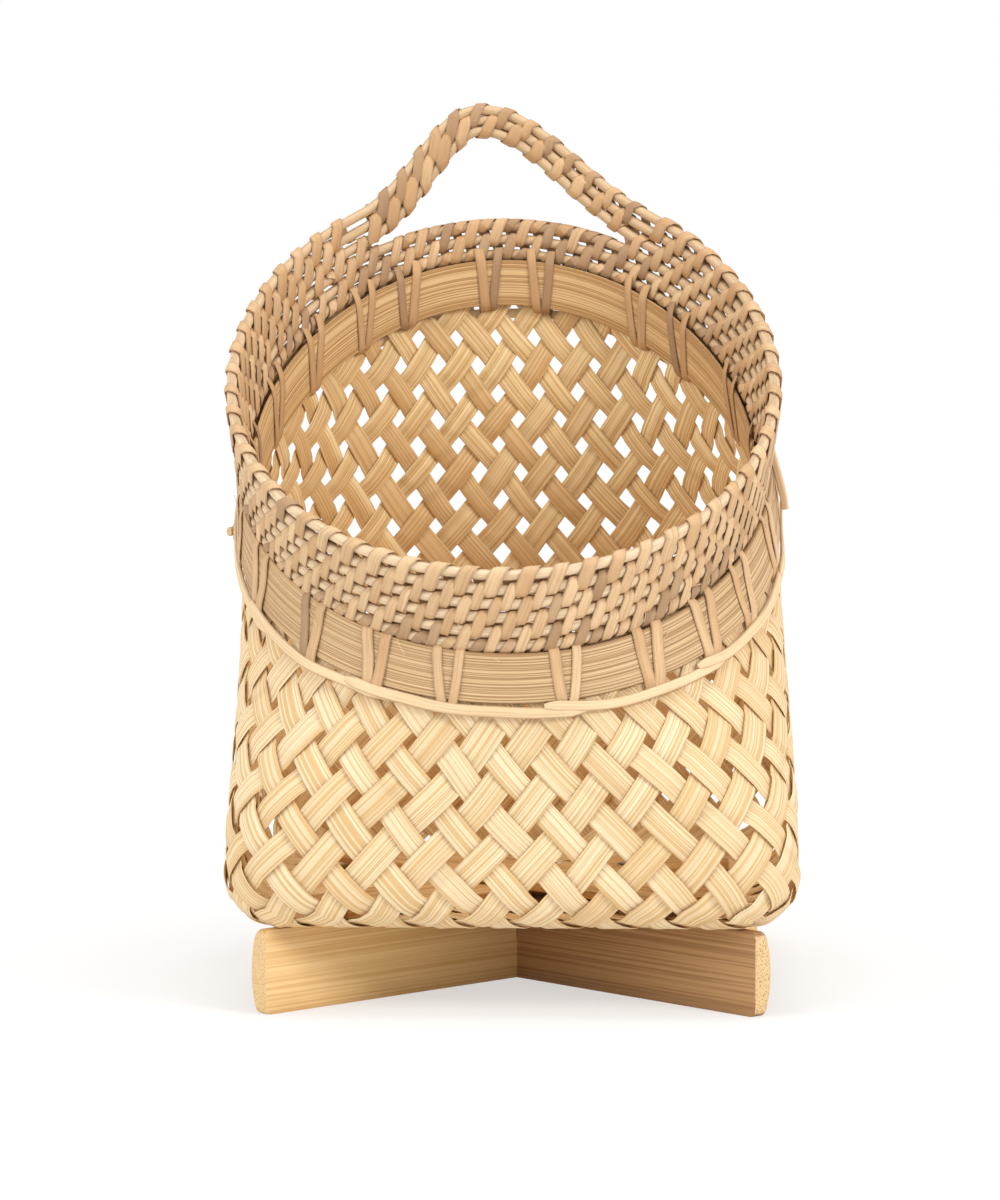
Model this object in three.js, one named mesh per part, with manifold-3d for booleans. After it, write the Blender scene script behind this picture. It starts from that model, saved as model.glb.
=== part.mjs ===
// A plaited bamboo basket: forty interlaced strips on a crossed slat foot, with a slanted round
// mouth and an arched handle that grows out of the rattan border.
import * as THREE from 'three';
import { mergeVertices } from 'three/addons/utils/BufferGeometryUtils.js';
import Module from 'manifold-3d';

// Millimetres. The front is -Y, the back is +Y, up is +Z, and the foot stands on z = 0.

// Foot: two slats of thick culm wall, halved into each other at the middle.
const footLength = 310;
const footHeight = 37;
const footThickness = 9.5;
const footCrown = 3.5;
const footCorner = 3;
const seatGap = 0.3;

// Plaiting: every side of the base sends the same number of strips each way.
const baseSide = 241;
const stripsPerSide = 10;
const stripWidth = 9.8;
const stripThickness = 0.4;
const stripGap = 0.75;
const foldRadius = 20;
const bendEase = 1.05;
const shortEnd = 0.35;
const wallRow = 13;
const baseRounding = 0.27;
const cornerGrowth = 5;
const wallTaper = 1.4;

// Mouth: height of the top rod at the front, at the sides and at the back. The mouth sits a little
// to the left of the foot, and its left side is the higher one.
const rimFront = 192.8;
const rimSide = 274;
const rimBack = 365;
const rimTilt = 2.6;
const rimRadius = 123.3;
const rimInset = 5.5;
const wallRimRadius = rimRadius - rimInset;
const mouthShift = -6.5;
const shiftGrowth = 3;

// Border: rattan rods lying on one another, of which the upper ones rise into the handle.
const rodDiameter = 4.6;
const rodCount = 6;
const handleRodCount = 3;
const rodPitch = 6.2;
const rodPitchBack = 6.9;
const handleRodPitch = 5.2;
const rodFlare = 1;
const rodJointGap = 0.4;
const rodSides = 6;
const rodSteps = 28;
const handleSteps = 18;

// Handle: the rise over the back of the rim, steeper on the left than on the right.
const handleRise = 35;
const handlePeakX = -17;
const handleReachLeft = 54;
const handleReachRight = 83;

// Hoops: flat bamboo bands inside and outside the plaiting, and the cane below the outer one.
const hoopHeight = 22;
const hoopThickness = 2;
const hoopScarf = 0.5;
const hoopEase = 2;
const caneWidth = 4.4;
const caneGap = 0.6;
const lashWidth = 3.6;
const lashThickness = 1;
const lashSpread = 8;
const lashLean = 2.6;

// Places of the lashings round the mouth, in degrees from the right side. They are tied by eye, so
// they stand closer together in some places than in others.
const lashAngles = [
  -150, -131, -115, -99, -76, -57, -43, -30, -13, 5, 24, 45, 58, 83, 95, 115, 127, 143, 160, 177, 194,
];

// Bottom slats and the nails that hold the basket to its foot.
const slatLength = 240;
const slatWidth = 50;
const slatThickness = 4;
const nailLength = 26;
const nailDiameter = 1.8;
const nailHeadDiameter = 5.2;
const nailHeadThickness = 0.8;
const nailHoleCount = 4;
const boreEase = 1;
const nailSides = 6;

// Handle binding: one flat rattan peel wound round the three upper rods.
const wrapLoops = 12;
const wrapWidth = 3;
const wrapThickness = 0.8;
const wrapClearance = 0.6;
const wrapStartX = -46;
const wrapEndX = 35;

const wasm = await Module();
wasm.setup();

const clamp = THREE.MathUtils.clamp;
const lerp = THREE.MathUtils.lerp;
const latticeStep = baseSide / (2 * stripsPerSide);
const perimeter = 8 * stripsPerSide;
const firstCorner = -0.75 * Math.PI;
const angleNudge = 0.005;
const placeNudge = 0.25;
const rowTolerance = 1e-6;
const flatHalf = baseSide / 2 - foldRadius * Math.PI / 4;
const wallHalf = flatHalf + foldRadius;
const straightSpacing = latticeStep * Math.SQRT2;
const baseLift = liftFor(straightSpacing);
const weaveLevel = footHeight + seatGap + baseLift + stripThickness / 2;
const wallStart = baseSide / 2 + foldRadius * Math.PI / 4;

// Height of a strip above the mean surface where it crosses another, so that both stay apart.
function liftFor(spacing) {
  return (stripThickness + stripGap) / (2 * (1 - stripWidth / spacing));
}

// Angle round the mouth of a place on the perimeter, counted from the front left corner.
function angleAt(u) {
  return firstCorner + u * 2 * Math.PI / perimeter;
}

function rimHeight(angle) {
  const across = Math.sin(angle);
  const slant = across * (rimBack - rimFront) / 2 - rimTilt * Math.cos(angle);
  return rimSide + slant + across * across * ((rimBack + rimFront) / 2 - rimSide);
}

function handleLift(angle) {
  const x = rimRadius * Math.cos(angle);
  if (Math.sin(angle) < 0) {
    return 0;
  }
  const reach = x < handlePeakX ? handleReachLeft : handleReachRight;
  const away = clamp(Math.abs(x - handlePeakX) / reach, 0, 1);
  return handleRise * Math.cos(away * Math.PI / 2) ** 2;
}

// How much longer a vertical distance is than the square one, on the slope of the border.
function slopeStretch(angle, lifted) {
  const height = (a) => rimHeight(a) + (lifted ? handleLift(a) : 0);
  const slope = (height(angle + angleNudge) - height(angle - angleNudge)) / (2 * angleNudge * rimRadius);
  return Math.sqrt(1 + slope * slope);
}

// Vertical distance between rods: it grows to the back, and on a slope so that they stay clear.
function rodDrop(angle, lifted) {
  const rimLevel = lerp(rodPitch, rodPitchBack, (1 + Math.sin(angle)) / 2);
  const level = lifted ? lerp(rimLevel, handleRodPitch, handleLift(angle) / handleRise) : rimLevel;
  return Math.max(level, handleRodPitch * slopeStretch(angle, lifted));
}

function rodPoint(index, angle) {
  const lifted = index < handleRodCount;
  const radius = rimRadius - index * rodFlare;
  const z = rimHeight(angle) + (lifted ? handleLift(angle) : 0) - index * rodDrop(angle, lifted);
  return new THREE.Vector3(mouthShift + radius * Math.cos(angle), radius * Math.sin(angle), z);
}

// Upper edge of the hoops, just below the lowest rod.
function hoopTop(angle) {
  const lowest = rodPoint(rodCount - 1, angle).z;
  return lowest - (rodDiameter / 2 + seatGap) * slopeStretch(angle, false);
}

// A square's edge point moved to a rounded square: 0 leaves the square, 1 gives a circle.
function rounded(edge, amount) {
  const upright = Math.abs(edge.x) > Math.abs(edge.y);
  const along = upright ? edge.y : edge.x;
  const straight = 1 - amount;
  const run = Math.abs(along) * (straight + amount * Math.PI / 4);
  const turn = Math.max(run - straight, 0) / Math.max(amount, 1e-6);
  const side = Math.sign(along) * (Math.min(run, straight) + amount * Math.sin(turn));
  const front = Math.sign(upright ? edge.x : edge.y) * (straight + amount * Math.cos(turn));
  return upright ? new THREE.Vector2(front, side) : new THREE.Vector2(side, front);
}

// Point on the square's edge for a place on the perimeter, and the inward direction there.
function edgeAt(u) {
  const side = Math.floor((u + perimeter) / (2 * stripsPerSide)) % 4;
  const along = ((u + perimeter) % (2 * stripsPerSide)) / stripsPerSide - 1;
  const turn = side * Math.PI / 2;
  const centre = new THREE.Vector2();
  const edge = new THREE.Vector2(along, -1).rotateAround(centre, turn);
  const inward = new THREE.Vector2(0, 1).rotateAround(centre, turn);
  return { edge, inward };
}

// Mean surface of the plaited base, for a place in lattice steps from the middle.
function basePoint(x, y) {
  const reach = Math.max(Math.abs(x), Math.abs(y)) / stripsPerSide;
  const edge = new THREE.Vector2(x, y).divideScalar(Math.max(reach, 1e-6) * stripsPerSide);
  const plan = rounded(edge, baseRounding * reach ** cornerGrowth);
  const out = reach * baseSide / 2;
  const bend = Math.max(out - flatHalf, 0) / foldRadius;
  const radius = bend > 0 ? flatHalf + foldRadius * Math.sin(bend) : out;
  const z = weaveLevel + foldRadius * (1 - Math.cos(bend));
  return new THREE.Vector3(plan.x * radius, plan.y * radius, z);
}

// Mean surface of the wall, for a place on the perimeter and a number of rows above the fold.
function wallPoint(u, row) {
  if (row < 0) {
    const { edge, inward } = edgeAt(u);
    const place = edge.multiplyScalar(stripsPerSide).addScaledVector(inward, -row);
    return basePoint(place.x, place.y);
  }
  const out = baseSide / 2 + row * wallRow;
  const bend = Math.min((out - flatHalf) / foldRadius, Math.PI / 2);
  const height = foldRadius * (1 - Math.cos(bend)) + Math.max(out - wallStart, 0);
  const top = hoopTop(angleAt(u)) - weaveLevel;
  const share = clamp(Math.max(out - wallStart, 0) / (top - foldRadius), 0, 1.2);
  const corner = lerp(baseRounding, 1, THREE.MathUtils.smoothstep(share, 0, 1));
  const radius = flatHalf + foldRadius * Math.sin(bend) - (wallHalf - wallRimRadius) * share ** wallTaper;
  const plan = rounded(edgeAt(u).edge, corner);
  const lean = mouthShift * share ** shiftGrowth;
  return new THREE.Vector3(plan.x * radius + lean, plan.y * radius, weaveLevel + height);
}

// One strip crosses the base on a diagonal and climbs a wall at both ends. Its offset counts
// lattice steps from the middle of the base, and a quarter turn gives the other direction.
function stripPath(offset, quarter) {
  const reach = stripsPerSide - Math.abs(offset) / 2;
  const turn = quarter * 2 * stripsPerSide;
  const right = offset > 0;
  const high = { u: 4 * stripsPerSide - offset, side: right ? 1 : -1 };
  const low = { u: right ? offset : 8 * stripsPerSide + offset, side: right ? -1 : 1 };
  const onWall = (end, row, shift) => wallPoint((end.u + turn + end.side * row + shift) % perimeter, row);
  const spun = (x, y) => (quarter ? basePoint(-y, x) : basePoint(x, y));
  const ownAt = (t) => {
    if (Math.abs(t) > reach) {
      return onWall(t > 0 ? high : low, Math.abs(t) - reach, 0);
    }
    return spun(offset / 2 + t, t - offset / 2);
  };
  const crossAt = (t, s) => {
    const row = Math.abs(t) - reach;
    if (row > -1) {
      const end = t > 0 ? high : low;
      const up = right ? s : -s;
      return wallPoint((end.u + turn + end.side * (row - up) + perimeter) % perimeter, row + up);
    }
    return spun(offset / 2 + t + s, t - offset / 2 - s);
  };
  return { reach, high, low, turn, ownAt, crossAt };
}

// Row at which a strip ends, half way up the hoops that clamp it.
function lastRow(end, turn) {
  let low = 0;
  let high = 3 * (rimBack - weaveLevel) / wallRow;
  while (high - low > rowTolerance) {
    const row = (low + high) / 2;
    const u = end.u + turn + end.side * row;
    const target = hoopTop(angleAt(u)) - hoopHeight / 2 * slopeStretch(angleAt(u), false);
    if (wallPoint((u + perimeter) % perimeter, row).z < target) {
      low = row;
    } else {
      high = row;
    }
  }
  return low;
}

// Places along a strip: every crossing, extra ones at the folds, and both ends.
function stripStations(path) {
  const { reach, high, low, turn } = path;
  const first = -reach - lastRow(low, turn);
  const last = reach + lastRow(high, turn);
  const places = [-reach - 0.5, -reach + 0.5, reach - 0.5, reach + 0.5];
  for (let t = reach; t < last; t += 1) {
    places.push(t);
  }
  for (let t = reach - 1; t > first; t -= 1) {
    places.push(t);
  }
  places.sort((a, b) => a - b);
  if (places[0] - first > shortEnd) {
    places.unshift(first);
  }
  if (last - places[places.length - 1] > shortEnd) {
    places.push(last);
  }
  return places.filter((t, i) => i === 0 || t > places[i - 1]);
}

// +1 where the strip lies outside the one it crosses, -1 where it lies inside.
function stripLevel(path, t) {
  const steps = t - path.reach;
  const whole = Math.floor(steps);
  const sign = (n) => (Math.abs(n) % 2 === 0 ? 1 : -1);
  return path.high.side * lerp(sign(whole), sign(whole + 1), steps - whole);
}

function stripRing(path, t) {
  const centre = path.ownAt(t);
  const along = path.ownAt(t + placeNudge).sub(path.ownAt(t - placeNudge)).normalize();
  const across = path.crossAt(t, placeNudge).sub(path.crossAt(t, -placeNudge));
  const span = across.length() / (2 * placeNudge);
  across.normalize();
  const normal = new THREE.Vector3().crossVectors(along, across);
  const sine = normal.length();
  normal.normalize();
  if (normal.dot(new THREE.Vector3(centre.x, centre.y, -wallHalf)) < 0) {
    normal.negate();
  }
  const spacing = span * sine;
  const level = stripLevel(path, t);
  const drop = (place) => -place.sub(centre).dot(normal);
  const ownDrop = [drop(path.ownAt(t + 1)), drop(path.ownAt(t - 1))];
  const crossDrop = [drop(path.crossAt(t, 1)), drop(path.crossAt(t, -1))];
  const outer = level > 0 ? ownDrop : crossDrop;
  const inner = level > 0 ? crossDrop : ownDrop;
  const bend = Math.max(Math.max(...outer) - Math.min(...inner), 0);
  const cover = stripWidth / (2 * spacing);
  const ease = level < 0 ? bendEase * bend * cover / (1 - 2 * cover) : 0;
  const lift = (liftFor(spacing) + ease) * level;
  const half = across.multiplyScalar(stripWidth / (2 * sine));
  const corner = (side, face) => centre.clone()
    .addScaledVector(normal, lift + face * stripThickness / 2)
    .addScaledVector(half, side);
  return [corner(-1, -1), corner(1, -1), corner(1, 1), corner(-1, 1)];
}

// A closed solid through a row of rings with equally many corners. Opposite faces are split along
// the same diagonal, so that a twisted strip keeps its thickness.
function loft(rings) {
  const count = rings[0].length;
  const positions = rings.flat().flatMap((point) => point.toArray());
  const index = [];
  const end = (rings.length - 1) * count;
  for (let i = 1; i < count - 1; i += 1) {
    index.push(0, i + 1, i, end, end + i, end + i + 1);
  }
  for (let r = 0; r < rings.length - 1; r += 1) {
    for (let i = 0; i < count; i += 1) {
      const a = r * count + i;
      const b = r * count + (i + 1) % count;
      if (i < count / 2) {
        index.push(b, b + count, a + count, b, a + count, a);
      } else {
        index.push(a, b, b + count, a, b + count, a + count);
      }
    }
  }
  return facingOut(positions, index);
}

// Turns every face over if the solid came out inside out.
function facingOut(positions, index) {
  const corner = (i) => new THREE.Vector3().fromArray(positions, 3 * index[i]);
  let volume = 0;
  for (let i = 0; i < index.length; i += 3) {
    volume += corner(i).dot(corner(i + 1).cross(corner(i + 2)));
  }
  if (volume < 0) {
    index.reverse();
  }
  const geometry = new THREE.BufferGeometry();
  geometry.setAttribute('position', new THREE.Float32BufferAttribute(positions, 3));
  geometry.setIndex(index);
  return geometry;
}

function toSolid(geometry) {
  const bare = geometry.clone();
  bare.deleteAttribute('normal');
  bare.deleteAttribute('uv');
  const merged = mergeVertices(bare, 1e-4);
  const vertProperties = new Float32Array(merged.attributes.position.array);
  const triVerts = new Uint32Array(merged.index.array);
  return new wasm.Manifold(new wasm.Mesh({ numProp: 3, vertProperties, triVerts }));
}

function toGeometry(solid) {
  const mesh = solid.getMesh();
  const geometry = new THREE.BufferGeometry();
  geometry.setAttribute('position', new THREE.BufferAttribute(new Float32Array(mesh.vertProperties), 3));
  geometry.setIndex(new THREE.BufferAttribute(new Uint32Array(mesh.triVerts), 1));
  return geometry;
}

function finish(color, roughness, metalness = 0) {
  return new THREE.MeshStandardMaterial({ color, roughness, metalness });
}

const culm = finish(0xdcb578, 0.6);
const peeled = finish(0xecd3a2, 0.65);
const bandBamboo = finish(0xc9a26c, 0.6);
const rattan = finish(0xdcbc8a, 0.55);
const peel = finish(0xcfa873, 0.5);
const steel = finish(0x8a8a88, 0.35, 1);

const basket = new THREE.Group();

function addPiece(parent, name, geometry, material) {
  const mesh = new THREE.Mesh(geometry, material);
  mesh.name = name;
  parent.add(mesh);
  return mesh;
}

// Straight hole along Z for a nail, as a solid to cut with.
function nailBore(x, top, depth) {
  const radius = nailDiameter / 2 + seatGap;
  const bore = new THREE.CylinderGeometry(radius, radius, depth, nailSides);
  bore.rotateX(Math.PI / 2);
  bore.translate(x, 0, top - depth / 2);
  return toSolid(bore);
}

const nailPlaces = [-nailHoleCount * straightSpacing, nailHoleCount * straightSpacing];
const weaveTop = weaveLevel + baseLift + stripThickness / 2;
const slatLevels = [weaveTop + seatGap, weaveTop + slatThickness + 2 * seatGap];
const nailHeadLevels = slatLevels.map((level) => level + slatThickness + seatGap);

// A foot slat: flat on one face, with the round skin of the culm on the other.
function footSlat(notchFromTop, headLevel) {
  const flat = -footThickness / 2;
  const shoulder = footThickness / 2 - footCrown;
  const skinRadius = (footHeight * footHeight / 4 + footCrown * footCrown) / (2 * footCrown);
  const sweep = Math.asin(footHeight / 2 / skinRadius);
  const section = new THREE.Shape();
  section.moveTo(flat, 0);
  section.lineTo(shoulder, 0);
  section.absarc(footThickness / 2 - skinRadius, footHeight / 2, skinRadius, -sweep, sweep, false);
  section.lineTo(flat, footHeight);
  const along = { depth: footLength, bevelEnabled: false, curveSegments: 4 };
  const bar = new THREE.ExtrudeGeometry(section, along);
  bar.translate(0, 0, -footLength / 2);
  bar.rotateX(Math.PI / 2);
  bar.rotateZ(Math.PI / 2);
  const side = new THREE.Shape();
  const end = footLength / 2;
  side.moveTo(-end + footCorner, 0);
  side.lineTo(end - footCorner, 0);
  side.absarc(end - footCorner, footCorner, footCorner, -Math.PI / 2, 0, false);
  side.absarc(end - footCorner, footHeight - footCorner, footCorner, 0, Math.PI / 2, false);
  side.absarc(-end + footCorner, footHeight - footCorner, footCorner, Math.PI / 2, Math.PI, false);
  side.absarc(-end + footCorner, footCorner, footCorner, Math.PI, 1.5 * Math.PI, false);
  const through = { depth: 2 * footThickness, bevelEnabled: false, curveSegments: 2 };
  const outline = new THREE.ExtrudeGeometry(side, through);
  outline.translate(0, 0, -footThickness);
  outline.rotateX(Math.PI / 2);
  const notchHeight = footHeight / 2 + seatGap / 2;
  const notch = new THREE.BoxGeometry(footThickness + 2 * seatGap, 2 * footThickness, notchHeight);
  notch.translate(0, 0, notchFromTop ? footHeight - notchHeight / 2 : notchHeight / 2);
  let slat = toSolid(bar).intersect(toSolid(outline)).subtract(toSolid(notch));
  const depth = nailLength - (headLevel - footHeight) + 2 * boreEase;
  for (const x of nailPlaces) {
    slat = slat.subtract(nailBore(x, footHeight + boreEase, depth + boreEase));
  }
  return toGeometry(slat);
}

// A bottom slat: a thin planed board with eased ends, bored for its two nails.
function bottomSlat(level) {
  const half = slatWidth / 2;
  const end = slatLength / 2;
  const ease = slatWidth / 8;
  const outline = new THREE.Shape();
  outline.moveTo(-end, -half + ease);
  outline.lineTo(-end + ease, -half);
  outline.lineTo(end - ease, -half);
  outline.lineTo(end, -half + ease);
  outline.lineTo(end, half - ease);
  outline.lineTo(end - ease, half);
  outline.lineTo(-end + ease, half);
  outline.lineTo(-end, half - ease);
  const board = new THREE.ExtrudeGeometry(outline, { depth: slatThickness, bevelEnabled: false });
  board.translate(0, 0, level);
  let slat = toSolid(board);
  for (const x of nailPlaces) {
    slat = slat.subtract(nailBore(x, level + slatThickness + boreEase, slatThickness + 2 * boreEase));
  }
  return toGeometry(slat);
}

function nail() {
  const shank = nailDiameter / 2;
  const head = nailHeadDiameter / 2;
  const profile = [
    new THREE.Vector2(0, -nailLength),
    new THREE.Vector2(shank, -nailLength + 2 * nailDiameter),
    new THREE.Vector2(shank, 0),
    new THREE.Vector2(head, 0),
    new THREE.Vector2(head, nailHeadThickness / 2),
    new THREE.Vector2(0, nailHeadThickness),
  ];
  const turned = new THREE.LatheGeometry(profile, nailSides);
  turned.rotateX(Math.PI / 2);
  return toGeometry(toSolid(turned));
}

const diagonals = [
  { name: 'right', turn: Math.PI / 4 },
  { name: 'left', turn: -Math.PI / 4 },
];
diagonals.forEach(({ name, turn }, i) => {
  const arm = new THREE.Group();
  arm.rotation.z = turn;
  basket.add(arm);
  addPiece(arm, `foot_slat_${name}`, footSlat(i === 0, nailHeadLevels[i]), culm);
  addPiece(arm, `bottom_slat_${name}`, bottomSlat(slatLevels[i]), culm);
  nailPlaces.forEach((x, k) => {
    const pin = addPiece(arm, `nail_${name}_${k + 1}`, nail(), steel);
    pin.position.set(x, 0, nailHeadLevels[i]);
  });
});

// The plaited body, strip by strip.
const plaiting = new THREE.Group();
basket.add(plaiting);
for (const quarter of [0, 1]) {
  for (let i = 0; i < 2 * stripsPerSide; i += 1) {
    const offset = 2 * i + 1 - 2 * stripsPerSide;
    const path = stripPath(offset, quarter);
    const rings = stripStations(path).map((t) => stripRing(path, t));
    const name = `strip_${quarter ? 'left' : 'right'}_${String(i + 1).padStart(2, '0')}`;
    addPiece(plaiting, name, loft(rings), peeled);
  }
}

// Rods of the border, each bent round the mouth until its ends meet.
function rodRing(index, angle) {
  const centre = rodPoint(index, angle);
  const along = rodPoint(index, angle + angleNudge).sub(rodPoint(index, angle - angleNudge)).normalize();
  const radial = new THREE.Vector3(Math.cos(angle), Math.sin(angle), 0);
  const out = radial.addScaledVector(along, -radial.dot(along)).normalize();
  const up = new THREE.Vector3().crossVectors(out, along);
  const ring = [];
  for (let i = 0; i < rodSides; i += 1) {
    const a = (i + 0.5) * 2 * Math.PI / rodSides;
    ring.push(centre.clone()
      .addScaledVector(out, rodDiameter / 2 * Math.cos(a))
      .addScaledVector(up, rodDiameter / 2 * Math.sin(a)));
  }
  return ring;
}

function rod(index) {
  const start = -Math.PI / 2 + index * Math.PI / 7;
  const turn = 2 * Math.PI - rodJointGap / rimRadius;
  const angles = [];
  for (let i = 0; i <= rodSteps; i += 1) {
    angles.push(start + turn * i / rodSteps);
  }
  if (index < handleRodCount) {
    const from = Math.acos((handlePeakX + handleReachRight) / rimRadius);
    const to = Math.acos((handlePeakX - handleReachLeft) / rimRadius);
    const inHandle = (a) => (a > from && a < to) || (a > from + 2 * Math.PI && a < to + 2 * Math.PI);
    const lap = start > from ? 2 * Math.PI : 0;
    const outside = angles.filter((a) => !inHandle(a));
    for (let i = 0; i <= handleSteps; i += 1) {
      outside.push(lap + lerp(from, to, i / handleSteps));
    }
    outside.sort((a, b) => a - b);
    return loft(outside.map((a) => rodRing(index, a)));
  }
  return loft(angles.map((a) => rodRing(index, a)));
}

const border = new THREE.Group();
basket.add(border);
for (let i = 0; i < rodCount; i += 1) {
  addPiece(border, `border_rod_${i + 1}`, rod(i), rattan);
}

// A flat band bent round the wall, as wide on the slopes as at the front. Its ends meet in a
// slanting cut.
function bandRing(angle, inner, outer, drop, height, lean = 0) {
  const corner = (down, out) => {
    const at = angle - down * lean / wallRimRadius;
    const z = hoopTop(at) - (drop + down * height) * slopeStretch(at, false);
    const u = (at - firstCorner) * perimeter / (2 * Math.PI);
    const row = (wallStart - baseSide / 2 + z - weaveLevel - foldRadius) / wallRow;
    const place = wallPoint((u + perimeter) % perimeter, row);
    const scale = 1 + out / Math.hypot(place.x - mouthShift, place.y);
    return new THREE.Vector3(mouthShift + (place.x - mouthShift) * scale, place.y * scale, z);
  };
  return [corner(1, inner), corner(1, outer), corner(0, outer), corner(0, inner)];
}

const rimSpacing = 2 * Math.PI * wallRimRadius / perimeter;
const rimRun = Math.hypot(rimSpacing, wallRow);
const weaveHalf = liftFor(2 * rimSpacing * wallRow / rimRun) + stripThickness / 2;
const hoopSteps = 48;
const innerJoint = -9;
const outerJoint = 7;
const caneJoint = 13;
const chordSag = wallRimRadius * (1 / Math.cos(Math.PI / hoopSteps) - 1);

function hoop(inner, outer, drop, height, joint, scarf) {
  const rings = [];
  const start = joint * 2 * Math.PI / hoopSteps;
  const turn = 2 * Math.PI - rodJointGap / wallRimRadius;
  for (let i = 0; i <= hoopSteps; i += 1) {
    rings.push(bandRing(start + turn * i / hoopSteps, inner, outer, drop, height, scarf));
  }
  return loft(rings);
}

const hoopInset = weaveHalf + hoopEase + seatGap;
const hoopOffset = weaveHalf + chordSag + seatGap;
const outerFace = hoopOffset + hoopThickness;
const hoops = new THREE.Group();
basket.add(hoops);
const scarf = hoopScarf * hoopHeight;
const innerHoop = hoop(-hoopInset - hoopThickness, -hoopInset, 0, hoopHeight, innerJoint, scarf);
addPiece(hoops, 'inner_hoop', innerHoop, bandBamboo);
const outerHoop = hoop(hoopOffset, outerFace, 0, hoopHeight, outerJoint, scarf);
addPiece(hoops, 'outer_hoop', outerHoop, bandBamboo);

// Lashing: a cane under the outer hoop, and pairs of peel straps that climb from it to the rods.
const strapInner = outerFace + seatGap;
const strapOuter = strapInner + lashThickness;

function strap(angle, lean) {
  const half = lashWidth / 2 / wallRimRadius;
  const low = hoopHeight + caneGap + caneWidth / 2;
  const rings = [-1, 1].map((side) => bandRing(angle + side * half, strapInner, strapOuter, 0, low, lean));
  return toSolid(loft(rings));
}

function lashing() {
  const cane = hoop(hoopOffset + lashThickness, strapOuter, hoopHeight + caneGap, caneWidth, caneJoint, 0);
  let solid = toSolid(cane);
  for (const degrees of lashAngles) {
    const angle = degrees * Math.PI / 180;
    const spread = lashSpread / 2 / wallRimRadius;
    solid = solid.add(strap(angle - spread, lashLean)).add(strap(angle + spread, -lashLean));
  }
  return toGeometry(solid);
}
addPiece(hoops, 'hoop_lashing', lashing(), peel);

// Handle binding: a flat peel wound round the three rods of the handle.
function wrapFrame(angle) {
  const middle = (handleRodCount - 1) / 2;
  const centre = rodPoint(middle, angle);
  const along = rodPoint(middle, angle + angleNudge).sub(rodPoint(middle, angle - angleNudge)).normalize();
  const up = rodPoint(0, angle).sub(rodPoint(handleRodCount - 1, angle));
  up.addScaledVector(along, -up.dot(along));
  const stack = up.length();
  up.normalize();
  const out = new THREE.Vector3().crossVectors(along, up);
  return { centre, along, up, out, stack };
}

const wrapStart = Math.acos(wrapStartX / rimRadius);
const wrapEnd = Math.acos(wrapEndX / rimRadius);
const wrapSteps = 8;

function wrapPoint(turns, depth) {
  const frame = wrapFrame(lerp(wrapStart, wrapEnd, turns / wrapLoops));
  const wide = rodDiameter / 2 + wrapClearance + depth;
  const high = frame.stack / 2 + wide;
  const cut = wide * (2 - Math.SQRT2);
  const corners = [
    [wide, high - cut], [wide - cut, high], [cut - wide, high], [-wide, high - cut],
    [-wide, cut - high], [cut - wide, -high], [wide - cut, -high], [wide, cut - high],
  ];
  const [out, up] = corners[Math.round(turns * wrapSteps) % wrapSteps];
  return {
    point: frame.centre.clone().addScaledVector(frame.out, out).addScaledVector(frame.up, up),
    along: frame.along,
  };
}

function handleWrap() {
  const rings = [];
  for (let i = 0; i <= wrapLoops * wrapSteps; i += 1) {
    const turns = i / wrapSteps;
    const low = wrapPoint(turns, 0);
    const high = wrapPoint(turns, wrapThickness);
    const side = (place, way) => place.point.clone().addScaledVector(place.along, way * wrapWidth / 2);
    rings.push([side(low, -1), side(low, 1), side(high, 1), side(high, -1)]);
  }
  return loft(rings);
}

// Least distance between neighbouring loops of the binding, measured on its edge points.
function wrapSelfGap() {
  let least = Infinity;
  for (let i = 0; i <= (wrapLoops - 1) * wrapSteps; i += 1) {
    const here = wrapPoint(i / wrapSteps, 0);
    const next = wrapPoint(i / wrapSteps + 1, 0);
    const edge = here.point.clone().addScaledVector(here.along, -wrapWidth / 2);
    const other = next.point.clone().addScaledVector(next.along, wrapWidth / 2);
    least = Math.min(least, edge.distanceTo(other), here.point.distanceTo(next.point) - wrapWidth);
  }
  return least;
}
addPiece(border, 'handle_wrap', handleWrap(), peel);
console.log(`least gap between loops of the handle binding: ${wrapSelfGap().toFixed(2)} mm`);

export default basket;
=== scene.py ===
# %% [markdown]
# # A plaited bamboo basket
# This lesson dresses a basket whose construction is settled. The real one stands on two crossed
# slats, is plaited from forty split strips, and ends in a rattan border whose upper rods rise into
# the handle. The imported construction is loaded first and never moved. The pieces made here take the
# place of its solids, in the same frame and in metres.

# %% Load the construction
import math
import bmesh
import bpy
import numpy as np
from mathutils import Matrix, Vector


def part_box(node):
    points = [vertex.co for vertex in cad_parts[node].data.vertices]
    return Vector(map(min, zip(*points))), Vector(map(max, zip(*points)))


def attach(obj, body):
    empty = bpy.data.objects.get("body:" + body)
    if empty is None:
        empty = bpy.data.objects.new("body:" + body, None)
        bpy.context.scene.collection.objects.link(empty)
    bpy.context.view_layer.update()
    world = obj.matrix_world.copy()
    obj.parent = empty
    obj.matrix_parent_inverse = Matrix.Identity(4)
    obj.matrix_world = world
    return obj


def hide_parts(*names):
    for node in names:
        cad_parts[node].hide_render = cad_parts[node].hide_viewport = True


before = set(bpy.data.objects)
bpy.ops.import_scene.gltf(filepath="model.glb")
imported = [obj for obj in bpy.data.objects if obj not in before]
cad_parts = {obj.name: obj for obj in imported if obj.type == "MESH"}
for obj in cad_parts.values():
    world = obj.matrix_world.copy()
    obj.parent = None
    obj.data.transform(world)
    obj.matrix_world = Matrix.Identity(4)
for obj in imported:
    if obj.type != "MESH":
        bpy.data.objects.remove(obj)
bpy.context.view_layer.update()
MM = 0.001
print("solids loaded:", len(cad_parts))

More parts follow.
